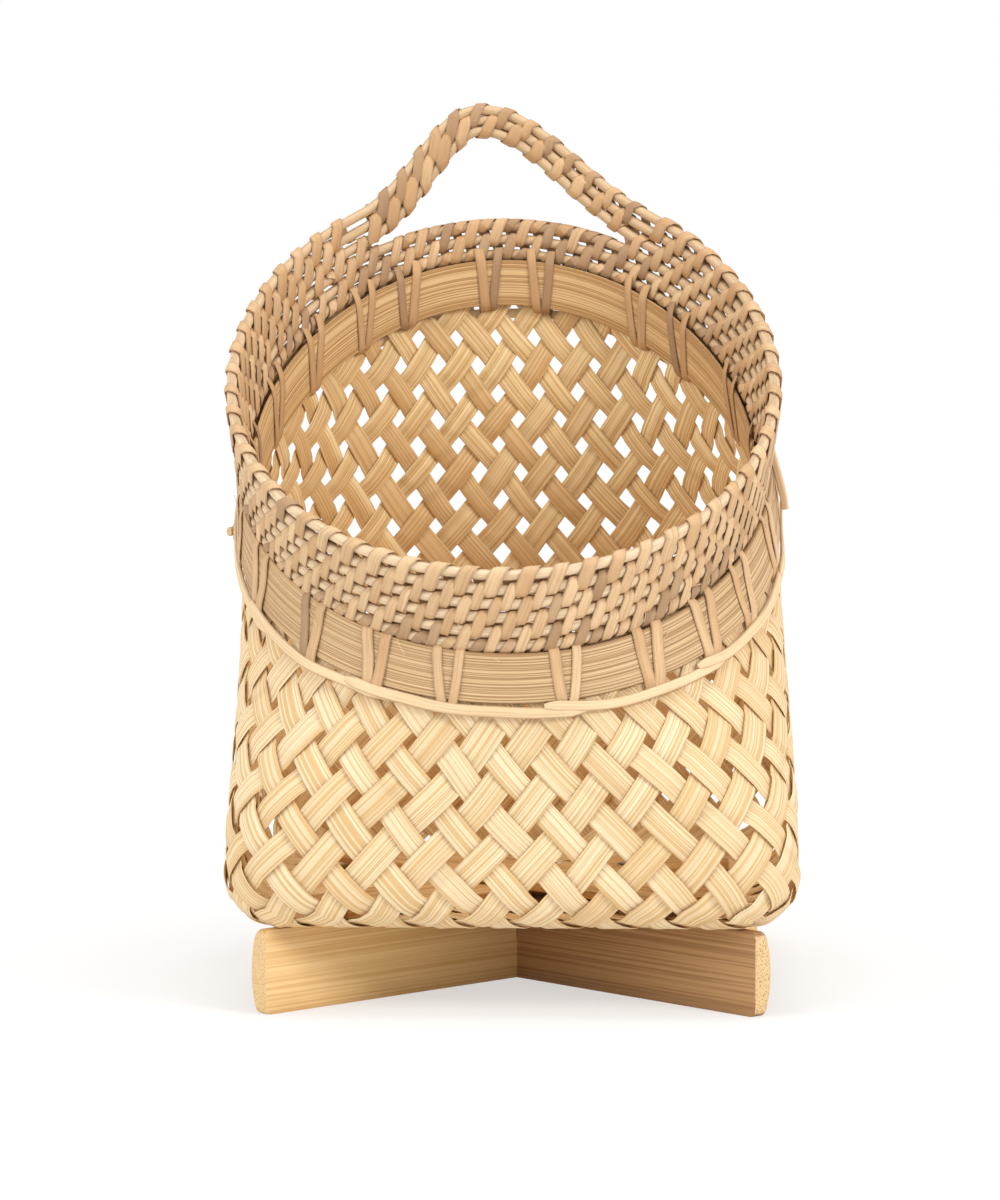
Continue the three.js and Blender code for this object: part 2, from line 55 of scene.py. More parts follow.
# %% [markdown]
# ## Sockets that do sums
# In Blender each sum on a value is a Math node. That is hard to read one node at a time, so a small
# class wraps a socket and lets Python's own operators add the nodes.

# %% A socket class for node sums
def math_node(operation, swapped=False):
    """A method of a socket that adds one Math node."""
    def method(wire, *others):
        terms = (*others, wire) if swapped else (wire, *others)
        return wire.net.node("ShaderNodeMath", dict(enumerate(terms)), operation=operation)[0]

    return method


class Wire:
    """One output socket. A sum on it adds the Math node that does it."""

    def __init__(self, net, socket):
        self.net = net
        self.socket = socket

    __add__ = __radd__ = math_node("ADD")
    __mul__ = __rmul__ = math_node("MULTIPLY")
    __sub__, __rsub__ = math_node("SUBTRACT"), math_node("SUBTRACT", swapped=True)
    __truediv__, __pow__ = math_node("DIVIDE"), math_node("POWER")
    __abs__, sign, fraction = math_node("ABSOLUTE"), math_node("SIGN"), math_node("FRACT")
    maximum = math_node("MAXIMUM")

    def step(self, low, high):
        """0 below low and 1 above high, with a soft passage between."""
        return self.net.node("ShaderNodeMapRange", {0: self, 1: low, 2: high},
                             interpolation_type="SMOOTHSTEP")[0]

    def fade(self, low, high):
        """1 below low and 0 above high."""
        return 1.0 - self.step(low, high)


class Made:
    """A node that has been added. Its outputs are read by name or by number."""

    def __init__(self, net, node):
        self.net = net
        self.node = node

    def __getitem__(self, key):
        return Wire(self.net, self.node.outputs[key])


class Net:
    """A node tree that nodes are added to."""

    def __init__(self, tree):
        self.tree = tree

    def node(self, kind, inputs=None, **settings):
        """Adds any node. Its settings come first, as some of them change its sockets."""
        made = self.tree.nodes.new(kind)
        for key, value in settings.items():
            setattr(made, key, value)
        for key, value in (inputs or {}).items():
            if isinstance(value, Wire):
                self.tree.links.new(value.socket, made.inputs[key])
            else:
                made.inputs[key].default_value = value
        return Made(self, made)

    def mix(self, factor, first, second):
        return self.node("ShaderNodeMix", {0: factor, 6: first, 7: second}, data_type="RGBA")[2]

    def tinted(self, colour, *layers):
        """A colour under tints that are laid on in turn, each as strongly as its amount says."""
        for amount, tint in layers:
            colour = self.mix(amount, colour, tint)
        return colour

    def vector(self, x, y, z):
        return self.node("ShaderNodeCombineXYZ", {0: x, 1: y, 2: z})[0]

    def split(self, vector):
        made = self.node("ShaderNodeSeparateXYZ", {0: vector})
        return made[0], made[1], made[2]

    def grain(self, x, y, z, detail=2.0, roughness=0.5):
        """Noise on three sums, so that it can be stretched along a piece."""
        place = {"Vector": self.vector(x, y, z), "Scale": 1.0}
        return self.node("ShaderNodeTexNoise", {**place, "Detail": detail, "Roughness": roughness})[0]

    def read(self, name):
        """A number that the piece's own mesh carries."""
        return self.node("ShaderNodeAttribute", attribute_name=name)["Fac"]


# %% [markdown]
# ## The sizes
# A basket maker works from a few sizes, such as the side of the bottom and the width of a strip.
# The same sizes drive every formula below, so the pieces fall where the construction has them.

# %% Driving sizes, in millimetres
foot_height = 37.0
seat_gap = 0.3
base_side = 241.0
strips_per_side = 10
cad_strip_width = 9.8
cad_strip_thickness = 0.4
cad_strip_gap = 0.75
fold_radius = 20.0
wall_row = 13.0
base_rounding = 0.27
corner_growth = 5
wall_taper = 1.4
rim_front = 192.8
rim_side = 274.0
rim_back = 365.0
rim_tilt = 2.6
rim_radius = 123.3
rim_inset = 5.5
wall_rim_radius = rim_radius - rim_inset
mouth_shift = -6.5
shift_growth = 3
rod_count = 6
handle_rods = 3
rod_pitch = 6.2
rod_pitch_back = 6.9
handle_rod_pitch = 5.2
rod_flare = 1.0
cad_rod = 4.6
handle_rise = 35.0
handle_peak = -17.0
handle_left = 54.0
handle_right = 83.0
hoop_height = 22.0

strip_width = 11.9
strip_thickness = 0.8
strip_lift = 0.78
rod_diameter = 4.9
peel_thickness = 0.8

lattice = base_side / (2 * strips_per_side)
perimeter = 8 * strips_per_side
first_corner = -0.75 * np.pi
angle_nudge = 0.005
flat_half = base_side / 2 - fold_radius * math.pi / 4
wall_half = flat_half + fold_radius
wall_start = base_side / 2 + fold_radius * math.pi / 4
cad_lift = (cad_strip_thickness + cad_strip_gap) / (2 * (1 - cad_strip_width / (lattice * math.sqrt(2))))
weave_level = foot_height + seat_gap + cad_lift + cad_strip_thickness / 2
print("weave level %.2f mm, lattice %.2f mm" % (weave_level, lattice))

# %% [markdown]
# ## The surface that the weave follows
# The body starts as a square and ends as a circle that slants up to the back and sits a little to
# the left of the foot. One function gives the flat bottom with its rounded fold, one the wall over
# it, and one the rods of the rim. They take arrays of places, as a strip is hundreds of them.

# %% The rim and the rods
def rim_height(angle):
    across = np.sin(angle)
    slant = across * (rim_back - rim_front) / 2 - rim_tilt * np.cos(angle)
    return rim_side + slant + across**2 * ((rim_back + rim_front) / 2 - rim_side)


def handle_lift(angle):
    x = rim_radius * np.cos(angle)
    reach = np.where(x < handle_peak, handle_left, handle_right)
    away = np.clip(np.abs(x - handle_peak) / reach, 0, 1)
    return np.where(np.sin(angle) < 0, 0.0, handle_rise * np.cos(away * np.pi / 2) ** 2)


def slope_stretch(angle, lifted=False):
    """How much longer an upright size gets on the slanted rim."""
    def height(a):
        return rim_height(a) + (handle_lift(a) if lifted else 0.0)

    rise = height(angle + angle_nudge) - height(angle - angle_nudge)
    slope = rise / (2 * angle_nudge * rim_radius)
    return np.sqrt(1 + slope**2)


def rod_point(index, angle):
    """Middle of a rod, counted from 0 at the top."""
    lifted = index < handle_rods
    lift = handle_lift(angle) if lifted else np.zeros_like(angle)
    rim_level = rod_pitch + (rod_pitch_back - rod_pitch) * (1 + np.sin(angle)) / 2
    level = rim_level + (handle_rod_pitch - rim_level) * lift / handle_rise
    drop = np.maximum(level, handle_rod_pitch * slope_stretch(angle, lifted))
    radius = rim_radius - index * rod_flare
    z = rim_height(angle) + lift - index * drop
    return np.stack([mouth_shift + radius * np.cos(angle), radius * np.sin(angle), z], -1)


def hoop_top(angle):
    lowest = rod_point(rod_count - 1, angle)[..., 2]
    return lowest - (cad_rod / 2 + seat_gap) * slope_stretch(angle)


def below_top(angle, down):
    """The height at a distance below the hoops' upper edge, measured square to it."""
    return hoop_top(angle) - down * slope_stretch(angle)


# %% The bottom and the wall
def rounded(edge, amount):
    """A square's edge point moved to a rounded square: 0 leaves the square, 1 gives a circle."""
    upright = np.abs(edge[..., 0]) > np.abs(edge[..., 1])
    along = np.where(upright, edge[..., 1], edge[..., 0])
    facing = np.where(upright, edge[..., 0], edge[..., 1])
    straight = 1 - amount
    run = np.abs(along) * (straight + amount * np.pi / 4)
    turn = np.maximum(run - straight, 0) / np.maximum(amount, 1e-6)
    side = np.sign(along) * (np.minimum(run, straight) + amount * np.sin(turn))
    front = np.sign(facing) * (straight + amount * np.cos(turn))
    return np.stack([np.where(upright, front, side), np.where(upright, side, front)], -1)


def edge_at(u):
    side = np.floor((u + perimeter) / (2 * strips_per_side)) % 4
    along = ((u + perimeter) % (2 * strips_per_side)) / strips_per_side - 1
    c, s = np.cos(side * np.pi / 2), np.sin(side * np.pi / 2)
    edge = np.stack([along * c + s, along * s - c], -1)
    return edge, np.stack([-s, c], -1)


def angle_at(u):
    """The angle round the mouth of a place counted in strips from the first corner."""
    return first_corner + u * 2 * np.pi / perimeter


def base_point(x, y):
    reach = np.maximum(np.maximum(np.abs(x), np.abs(y)) / strips_per_side, 1e-6)
    edge = np.stack([x, y], -1) / (reach * strips_per_side)[..., None]
    plan = rounded(edge, base_rounding * reach**corner_growth)
    out = reach * base_side / 2
    bend = np.maximum(out - flat_half, 0) / fold_radius
    radius = np.where(bend > 0, flat_half + fold_radius * np.sin(bend), out)
    z = weave_level + fold_radius * (1 - np.cos(bend))
    return np.concatenate([plan * radius[..., None], z[..., None]], -1)


def wall_point(u, row):
    u = u % perimeter
    edge, inward = edge_at(u)
    below = edge * strips_per_side - inward * np.minimum(row, 0)[..., None]
    low = base_point(below[..., 0], below[..., 1])
    up = np.maximum(row, 0)
    out = base_side / 2 + up * wall_row
    bend = np.minimum((out - flat_half) / fold_radius, np.pi / 2)
    climb = np.maximum(out - wall_start, 0)
    top = hoop_top(angle_at(u)) - weave_level
    share = np.clip(climb / (top - fold_radius), 0, 1.2)
    soft = np.clip(share, 0, 1)
    corner = base_rounding + (1 - base_rounding) * soft * soft * (3 - 2 * soft)
    radius = flat_half + fold_radius * np.sin(bend) - (wall_half - wall_rim_radius) * share**wall_taper
    plan = rounded(edge, corner) * radius[..., None]
    lean = mouth_shift * share**shift_growth
    height = weave_level + (fold_radius * (1 - np.cos(bend)) + climb)
    high = np.stack([plan[..., 0] + lean, plan[..., 1], height], -1)
    return np.where((row < 0)[..., None], low, high)


print("rim %.0f to %.0f mm high" % (rim_height(-np.pi / 2), rim_height(np.pi / 2)))

# %% [markdown]
# ## One tree that draws any long piece
# Strips, rods, hoops, cane and peel are all one section carried along a path, which is Curve to
# Mesh. The path's points say which way the wide side of the section lies, and the section is a
# circle squared off by an exponent, so one tree draws a round rod and a flat strip with eased
# edges. The mesh keeps numbers that the finishes read: the distance along the piece, the place
# across it, the side it faces, and a tone of its own.

# %% The section tree
def new_tree(name, sizes, counts=()):
    """A tree with a path and a finish in and a piece out, and the identifiers of its inputs."""
    tree = bpy.data.node_groups.new(name, "GeometryNodeTree")
    tree.interface.new_socket(name="Path", in_out="INPUT", socket_type="NodeSocketGeometry")
    tree.interface.new_socket(name="Piece", in_out="OUTPUT", socket_type="NodeSocketGeometry")
    kinds = {"Finish": "Material", **dict.fromkeys(sizes, "Float"), **dict.fromkeys(counts, "Int")}
    found = {}
    for size, kind in kinds.items():
        made = tree.interface.new_socket(name=size, in_out="INPUT", socket_type="NodeSocket" + kind)
        found[size] = made.identifier
    net = Net(tree)
    return net, net.node("NodeGroupInput"), found


net, given, sweep_inputs = new_tree(
    "section_along_path", ("Width", "Thickness", "Squareness"), counts=("Sides",))
sweep_tree = net.tree
circle = net.node("GeometryNodeCurvePrimitiveCircle", {"Resolution": given["Sides"], "Radius": 1.0})
x, y, _ = net.split(net.node("GeometryNodeInputPosition")[0])
power = 1.0 - given["Squareness"]
wide, thick = x.sign() * abs(x) ** power, y.sign() * abs(y) ** power
section = net.vector(wide * given["Width"] * 0.5, thick * given["Thickness"] * 0.5, 0.0)


def store(net, geometry, name, value):
    inputs = {"Geometry": geometry, "Name": name, "Value": value}
    return net.node("GeometryNodeStoreNamedAttribute", inputs, data_type="FLOAT", domain="POINT")[0]


def close_tree(net, geometry, given):
    """Makes instances real, because the export drops them, and gives them their finish."""
    real = net.node("GeometryNodeRealizeInstances", {"Geometry": geometry})[0]
    dressed = net.node("GeometryNodeSetMaterial", {"Geometry": real, "Material": given["Finish"]})
    net.node("NodeGroupOutput", {0: dressed[0]})


profile = store(net, circle["Curve"], "across", wide)
profile = store(net, profile, "facing", thick)
profile = net.node("GeometryNodeSetPosition", {"Geometry": profile, "Position": section})[0]
path = net.node("GeometryNodeMeshToCurve", {"Mesh": given["Path"]})[0]
path = store(net, path, "along", net.node("GeometryNodeSplineParameter")["Length"])
lying = net.node("GeometryNodeInputNamedAttribute", {"Name": "lie"}, data_type="FLOAT_VECTOR")
path = net.node("GeometryNodeSetCurveNormal", {"Curve": path, "Normal": lying[0]}, mode="FREE")[0]
girth = net.node("GeometryNodeInputNamedAttribute", {"Name": "girth"}, data_type="FLOAT")
swept = net.node("GeometryNodeCurveToMesh", {
    "Curve": path, "Profile Curve": profile, "Scale": girth[0], "Fill Caps": True})["Mesh"]
close_tree(net, swept, given)
print("nodes in the section tree:", len(sweep_tree.nodes))


# %% From a path to a plain mesh
def in_scene(name, data):
    made = bpy.data.objects.new(name, data)
    bpy.context.scene.collection.objects.link(made)
    return made


def set_tree(source, tree, inputs, values):
    """Gives an object a tree, with its sizes set by the sockets' identifiers."""
    modifier = source.modifiers.new("shape", "NODES")
    modifier.node_group = tree
    for key, value in values.items():
        modifier[inputs[key]] = value


def evaluated(name, source, sharp):
    """What the modifiers made, as a plain mesh. The source is taken away."""
    graph = bpy.context.evaluated_depsgraph_get()
    graph.update()
    mesh = bpy.data.meshes.new_from_object(
        source.evaluated_get(graph), preserve_all_data_layers=True, depsgraph=graph)
    old = source.data
    bpy.data.objects.remove(source)
    bpy.data.meshes.remove(old)
    mesh.name = name
    mesh.shade_smooth()
    mesh.set_sharp_from_angle(angle=math.radians(sharp))
    return in_scene(name, mesh)


def unit(vectors):
    return vectors / np.maximum(np.linalg.norm(vectors, axis=-1, keepdims=True), 1e-9)


def square_to(direction, way):
    """The part of a direction that is square to a path's way."""
    return unit(direction - way * (direction * way).sum(-1, keepdims=True))


def way_along(points):
    """How far along a path each of its points lies."""
    return np.concatenate([[0], np.cumsum(np.linalg.norm(np.diff(points, axis=0), axis=1))])


def path_mesh(name, runs):
    """One mesh of open paths. A run has points, outward directions and its own numbers."""
    standards = {"girth": 1.0, "tone": 0.5, "aged": 0.0}
    points, edges, carried = [], [], {key: [] for key in ("lie", *standards)}
    count = 0
    for run in runs:
        place = np.asarray(run["points"], float) * MM
        tangent = unit(np.gradient(place, axis=0))
        carried["lie"].append(unit(np.cross(run["outward"], tangent)))
        for key, standard in standards.items():
            carried[key].append(np.broadcast_to(run.get(key, standard), (len(place),)))
        points.append(place)
        edges += [(count + i, count + i + 1) for i in range(len(place) - 1)]
        count += len(place)
    mesh = bpy.data.meshes.new(name)
    mesh.from_pydata(np.concatenate(points).tolist(), edges, [])
    for key, values in carried.items():
        kind, field = ("FLOAT_VECTOR", "vector") if key == "lie" else ("FLOAT", "value")
        attribute = mesh.attributes.new(key, kind, "POINT")
        attribute.data.foreach_set(field, np.concatenate(values).astype(np.float32).ravel())
    return mesh


def sweep(name, runs, width, thickness, finish, squareness=0.6, sides=8, sharp=50.0):
    """One section carried along every run, as a plain mesh object."""
    source = in_scene(name + "_path", path_mesh(name + "_path", runs))
    set_tree(source, sweep_tree, sweep_inputs, {
        "Width": width * MM, "Thickness": thickness * MM, "Squareness": squareness,
        "Sides": sides, "Finish": finish})
    return evaluated(name, source, sharp)


def seat(piece, slot, *nodes):
    """The finished piece rides on the basket and stands for its solids. Its slot is not used."""
    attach(piece, "root")
    if nodes:
        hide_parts(*nodes)


# %% [markdown]
# ## Finishes
# Split bamboo is bundles of long fibres, so its colour changes in fine lines along the strip: straw
# and gold outside, a deeper tan inside, a darker band where the culm had a node. Rattan peel is
# glossier and each turn has its own tone. All of this follows the piece, so it is drawn on the
# distances along and across it, and nothing needs an image.

# %% Colour helper and the shared base of every finish
def srgb(*screen):
    """A colour as it looks on a screen, given to Blender as the linear values it needs."""
    linear = [v / 12.92 if v <= 0.04045 else ((v + 0.055) / 1.055) ** 2.4 for v in screen]
    return (*linear, 1.0)


def emptied(holder):
    """The node tree of a material or a world, emptied."""
    holder.use_nodes = True
    holder.node_tree.nodes.clear()
    return Net(holder.node_tree)


def new_finish(name):
    material = bpy.data.materials.new(name)
    return material, emptied(material)


def close_finish(net, colour, roughness, height, depth, strength, metallic=0.0, specular=0.35):
    """Feeds the shader. height is the bump's pattern, and depth its relief in mm."""
    bump = net.node("ShaderNodeBump", {
        "Height": height, "Distance": depth * MM, "Strength": strength})
    shader = net.node("ShaderNodeBsdfPrincipled", {
        "Base Color": colour, "Roughness": roughness, "Metallic": metallic,
        "Specular IOR Level": specular, "Normal": bump["Normal"]})
    net.node("ShaderNodeOutputMaterial", {"Surface": shader["BSDF"]})


# %% Bamboo fibre finish for strips and hoops
def fibre_finish(name, outside, inside, fibres, node_spacing, contrast, node_strength):
    """Fine lines along the piece, pale outside and deeper inside (partly painted bounce light), with a
    band at each node.

    outside and inside are three colours each: the ground, the fibre lines and the old, tan tone.
    fibres is how many soft lines lie across half of the width, contrast how strong they are,
    node_spacing the metres between the culm's nodes and node_strength how dark a node is.
    """
    material, net = new_finish(name)
    along, across, facing = net.read("along"), net.read("across"), net.read("facing")
    tone = net.read("tone")
    side = facing.step(-0.2, 0.2)
    seed = tone * 91.0 + side * 7.0
    lines = net.grain(along * 2.5, across * fibres, seed, 1.0)
    fine = net.grain(along * 6.0, across * fibres * 2.1, seed + 31.0, 0.0)
    broad = net.grain(along * 7.0, across, seed + 57.0)
    streak = lines.step(0.51, 0.56)
    hair = fine.step(0.50, 0.58)
    tan = tone.step(0.45, 0.95) * 0.7 + broad.step(0.45, 0.75) * 0.3
    # The inside face's deeper gold is partly the bamboo's own inner side and partly painted warm light
    # bounced round inside the basket.
    faces = []
    for ground, line, old in (inside, outside):
        faces.append(net.tinted(
            ground, (tan * 0.75, old), (streak * contrast, line), (hair * contrast * 0.6, line)))
    off_node = abs((along / node_spacing + tone * 7.0).fraction() - 0.5)
    band = off_node.fade(0.002, 0.010) * node_strength
    # The last tint darkens both long edges: painted shade of the cut edges.
    colour = net.tinted(
        net.mix(side, *faces),
        (lines.fade(0.36, 0.46) * 0.35, net.mix(0.4, outside[0], srgb(1.0, 0.96, 0.84))),
        (band * 0.7, srgb(0.55, 0.40, 0.23)),
        (off_node.fade(0.01, 0.05) * node_strength * 0.25, inside[1]),
        (abs(across).step(0.88, 1.0) * 0.25, outside[1]))
    rough = 0.44 + lines * 0.2 + (1.0 - side) * 0.1
    relief = streak * 0.7 + hair * 0.4 + band * 1.2
    close_finish(net, colour, rough, relief, 0.18, 0.6)
    return material


strip_finish = fibre_finish(
    "split bamboo",
    (srgb(0.96, 0.87, 0.715), srgb(0.845, 0.69, 0.46), srgb(0.88, 0.745, 0.55)),
    (srgb(0.99, 0.88, 0.66), srgb(0.84, 0.66, 0.425), srgb(0.81, 0.635, 0.42)),
    8.0, 0.34, 0.8, 0.2)
hoop_finish = fibre_finish(
    "bamboo band",
    (srgb(0.85, 0.715, 0.53), srgb(0.56, 0.405, 0.25), srgb(0.77, 0.61, 0.43)),
    (srgb(0.88, 0.725, 0.50), srgb(0.60, 0.42, 0.235), srgb(0.79, 0.61, 0.385)),
    17.0, 0.46, 0.62, 0.15)


# %% Rattan rod and rattan peel
def rattan_finish(name, pale, deep, old, gloss, ribs):
    """Rattan with a tone for each turn. Old peel has gone grey-brown.

    ribs are the fine ridges that a scraped peel keeps across itself.
    """
    material, net = new_finish(name)
    along, across = net.read("along"), net.read("across")
    tone, aged = net.read("tone"), net.read("aged")
    grain = net.grain(along * 22.0, across * 3.0, tone * 71.0, 2.0, 0.6)
    patch = net.grain(along * 75.0, across * 0.7, tone * 19.0)
    ridge = net.grain(along * 1400.0, across * 0.6, tone * 43.0, 1.0)
    # The last tint darkens both edges: painted shade where neighbouring turns meet and round a rod's
    # sides, with some real browning of the peel's cut edges.
    colour = net.tinted(
        pale,
        ((tone * 0.8 + patch * 0.4).step(0.15, 1.05), deep),
        (aged * (0.55 + patch * 0.6), old),
        (grain.step(0.50, 0.62) * 0.42, net.mix(0.5, old, deep)),
        (ridge.step(0.45, 0.7) * ribs * 0.3, net.mix(0.35, deep, old)),
        (abs(across).step(0.65, 1.0) * 0.55, old))
    rough = gloss + grain * 0.2 + aged * 0.1
    close_finish(net, colour, rough, grain + ridge * ribs * 0.6, 0.14, 0.5)
    return material


rod_finish = rattan_finish(
    "rattan rod", srgb(0.91, 0.81, 0.675), srgb(0.82, 0.69, 0.53), srgb(0.66, 0.53, 0.38), 0.5, 0.0)
peel_finish = rattan_finish(
    "rattan peel", srgb(0.90, 0.77, 0.60), srgb(0.775, 0.61, 0.425), srgb(0.60, 0.475, 0.36), 0.42, 0.4)
cane_finish = rattan_finish(
    "rattan cane", srgb(0.92, 0.805, 0.64), srgb(0.85, 0.71, 0.52), srgb(0.65, 0.54, 0.43), 0.42, 0.0)


# %% Culm wall, planed board and steel
def wood_finish(name, colours, cut_end, turn, lengthwise, fineness, end_grain, bend):
    """A slat that lies along a diagonal. Its grain runs along it, with fibre dots on a cut end.

    colours are pale, deep and dark. lengthwise, fineness and end_grain are how often in a metre the
    pattern changes along the slat, across it and on its end, and bend how far its lines waver.
    """
    pale, deep, dark = colours
    material, net = new_finish(name)
    spot = net.node("ShaderNodeTexCoord")["Object"]
    normal = net.node("ShaderNodeNewGeometry")["Normal"]
    turned, facing = (
        net.node("ShaderNodeMapping", {"Vector": source, "Rotation": (0.0, 0.0, turn)},
                 vector_type=kind)["Vector"] for source, kind in ((spot, "POINT"), (normal, "NORMAL")))
    x, y, z = net.split(turned)
    end = abs(net.split(facing)[0]).step(0.75, 0.95)
    waver = net.grain(x * 14.0, y * 14.0, z * 14.0, 1.0) * bend
    lines = net.grain(x * lengthwise, (y + waver) * fineness, (z + waver) * fineness, 3.0, 0.6)
    broad = net.grain(x * lengthwise * 0.4, y * 60.0, (z + waver) * 60.0)
    dots = net.node("ShaderNodeTexVoronoi", {"Vector": turned, "Scale": end_grain})["Distance"]
    speckle = net.mix(dots.fade(0.20, 0.45) * 0.7, cut_end, dark)
    colour = net.tinted(
        pale, (lines.step(0.40, 0.62), deep), (broad.step(0.45, 0.75) * 0.45, dark), (end, speckle))
    close_finish(net, colour, 0.5 + lines * 0.2, lines + broad * 0.4, 0.3, 0.5)
    return material


# The right foot slat's palette is lit and the left one's is shaded: painted light and painted shade from
# the key lamp, over the left slat's own browner streaks.
foot_lit_and_shaded_colours = {"right": (srgb(0.965, 0.83, 0.61), srgb(0.89, 0.725, 0.485), srgb(0.74, 0.56, 0.345)),
                "left": (srgb(0.745, 0.58, 0.395), srgb(0.63, 0.465, 0.30), srgb(0.50, 0.355, 0.225))}
foot_end = srgb(0.90, 0.77, 0.57)
board_colours = (srgb(0.86, 0.70, 0.46), srgb(0.74, 0.55, 0.32), srgb(0.55, 0.39, 0.22))
finishes = {}
for side, turn in (("right", -math.pi / 4), ("left", math.pi / 4)):
    finishes["foot", side] = wood_finish(
        "culm wall " + side, foot_lit_and_shaded_colours[side], foot_end, turn, 3.5, 1000.0, 1100.0, 0.0008)
    finishes["board", side] = wood_finish(
        "planed board " + side, board_colours, board_colours[1], turn, 12.0, 420.0, 900.0, 0.006)


def steel_finish():
    material, net = new_finish("nail steel")
    x, y, z = net.split(net.node("ShaderNodeTexCoord")["Object"])
    wear = net.grain(x * 900.0, y * 900.0, z * 900.0, 3.0, 0.6)
    colour = net.mix(wear.step(0.4, 0.7), srgb(0.62, 0.62, 0.60), srgb(0.36, 0.33, 0.30))
    close_finish(net, colour, 0.3 + wear * 0.3, wear, 0.1, 0.4, metallic=0.9, specular=0.5)
    return material


nail_finish = steel_finish()
print("finishes:", len(bpy.data.materials))

# %% [markdown]
# ## The plaited strips
# The skill of this basket is the weave: forty strips, over one and under the next, that cross the
# bottom on a diagonal, turn up at the fold and climb the wall slantwise. A texture would show no
# holes, so every strip is real. Its path is read from the surface, and a soft square wave lifts it
# over one neighbour and under the next.

# %% Paths of the strips
samples = 9
flatness = 2.6
place_nudge = 0.25
drift_reach = 0.022
drift_rates = (0.5, 1.1, 1.9)
narrow_from, narrow_over, narrowing = 130, 80, 0.14
width_wave = 0.035
shades = np.random.default_rng(11)


def strip_ends(offset, quarter):
    """How far out a strip meets the folds, and the place and way of its two climbs."""
    way = 1 if offset > 0 else -1
    turn = quarter * 2 * strips_per_side
    high = (4 * strips_per_side - offset + turn, way)
    low = (offset % perimeter + turn, -way)
    return strips_per_side - abs(offset) / 2, high, low


def strip_place(offset, quarter, t, s):
    """A place on the surface: t along the strip and s across it, both in crossings."""
    reach, high, low = strip_ends(offset, quarter)
    row = np.abs(t) - reach
    slip = high[1] * s
    u, side = (np.where(t > 0, *ends) for ends in zip(high, low))
    on_wall = wall_point(u + side * (row - slip), row + slip)
    x, y = offset / 2 + t + s, t - offset / 2 - s
    on_base = base_point(-y, x) if quarter else base_point(x, y)
    return np.where((row > -1)[..., None], on_wall, on_base)


def last_row(u, side):
    """Row at which a strip ends, half way up the hoops that clamp it."""
    rows = np.linspace(0, 40, 1601)
    place = wall_point(u + side * rows, rows)
    target = hoop_top(angle_at(u + side * rows)) - hoop_height / 2
    return rows[np.argmax(place[..., 2] > target)]


def strip_run(offset, quarter):
    """A strip's path: it wanders a little, is lifted over and under, and narrows up the wall."""
    reach, high, low = strip_ends(offset, quarter)
    first, last = -reach - last_row(*low), reach + last_row(*high)
    t = np.linspace(first, last, int((last - first) * samples) + 1)
    phase = shades.uniform(0, 2 * np.pi, 3)
    drift = sum(drift_reach * np.sin(t * rate + p) for rate, p in zip(drift_rates, phase))
    drift = drift * np.clip((last - np.abs(t)) / 2, 0, 1)
    centre = strip_place(offset, quarter, t, drift)
    ahead, behind, left, right = (
        strip_place(offset, quarter, t + way * place_nudge, drift + side * place_nudge)
        for way, side in ((1, 0), (-1, 0), (0, 1), (0, -1)))
    outward = unit(np.cross(ahead - behind, left - right))
    middle = np.concatenate([centre[:, :2], np.full((len(t), 1), -wall_half)], -1)
    outward *= np.sign((outward * middle).sum(-1, keepdims=True))
    wave = np.cos(np.pi * (t - reach)) * high[1]
    level = np.tanh(flatness * wave) / math.tanh(flatness)
    high_up = np.clip((centre[:, 2] - narrow_from) / narrow_over, 0, 1)
    width = shades.uniform(0.9, 1.09) + width_wave * np.sin(t * 0.7 + phase[0])
    width = width * (1 - narrowing * high_up)
    return {"points": centre + outward * (strip_lift * level)[:, None], "outward": outward,
            "girth": width, "tone": shades.uniform(0, 1)}


# %% Plait the body
faces = 0
for quarter, side in ((0, "right"), (1, "left")):
    for i in range(2 * strips_per_side):
        run = strip_run(2 * i + 1 - 2 * strips_per_side, quarter)
        node = "strip_%s_%02d" % (side, i + 1)
        strip = sweep("woven_" + node, [run], strip_width, strip_thickness, strip_finish)
        seat(strip, "bamboo_strip", node)
        faces += len(strip.data.polygons)
print("forty strips, %d faces" % faces)

# %% [markdown]
# ## The rods of the border
# Six peeled rattan rods lie on one another round the mouth. Each is bent round once and its ends
# meet. At the back the upper three rise into the handle. Rattan is never quite straight, so each
# rod wanders by a few tenths of a millimetre.

# %% Bend the rods
joint_start, joint_step, joint_gap = 2.9, 0.21, 0.0008
waver_reach, waver_rates = 0.12, (7, 13, 23)
rod_shades = np.random.default_rng(5)


def level_outward(place):
    """The level direction from the mouth's axis to a place."""
    return unit((place - np.array([mouth_shift, 0.0, 0.0])) * [1.0, 1.0, 0.0])


def ring_outward(centre):
    """Outward direction of a ring's points: level, away from the axis, square to the path."""
    return square_to(level_outward(centre), unit(np.gradient(centre, axis=0)))


for index in range(rod_count):
    angles = joint_start + index * joint_step + np.linspace(0, 2 * np.pi - joint_gap, 260)
    centre = rod_point(index, angles)
    for rate in waver_rates:
        centre[:, 2] += waver_reach * np.sin(angles * rate + rod_shades.uniform(0, 6.28))
    shade = 0.12 + 0.36 * (1 + np.sin(angles)) + 0.1 * (index % 2)
    run = {"points": centre, "outward": ring_outward(centre), "tone": shade,
           "girth": 1.0 + 0.03 * np.sin(angles * 5 + index)}
    rod = sweep("rattan_rod_%d" % (index + 1), [run], rod_diameter, rod_diameter, rod_finish,
                squareness=0.0, sides=10, sharp=60)
    seat(rod, "rattan_rod", "border_rod_%d" % (index + 1))
print("rods:", rod_count)

# %% [markdown]
# ## Hoops, cane and lashings
# Two bamboo bands clamp the ends of the strips, and a thin cane lies along the lower edge of the
# outer one, in lengths whose tapered ends overlap. Pairs of rattan peel, set like a V, tie cane,
# hoops and border together. The bands lean as the wall does, so their outward direction is read
# from the wall's own surface.

# %% Bend the hoops
wall_nudge, rise_nudge = 0.01, 4.0


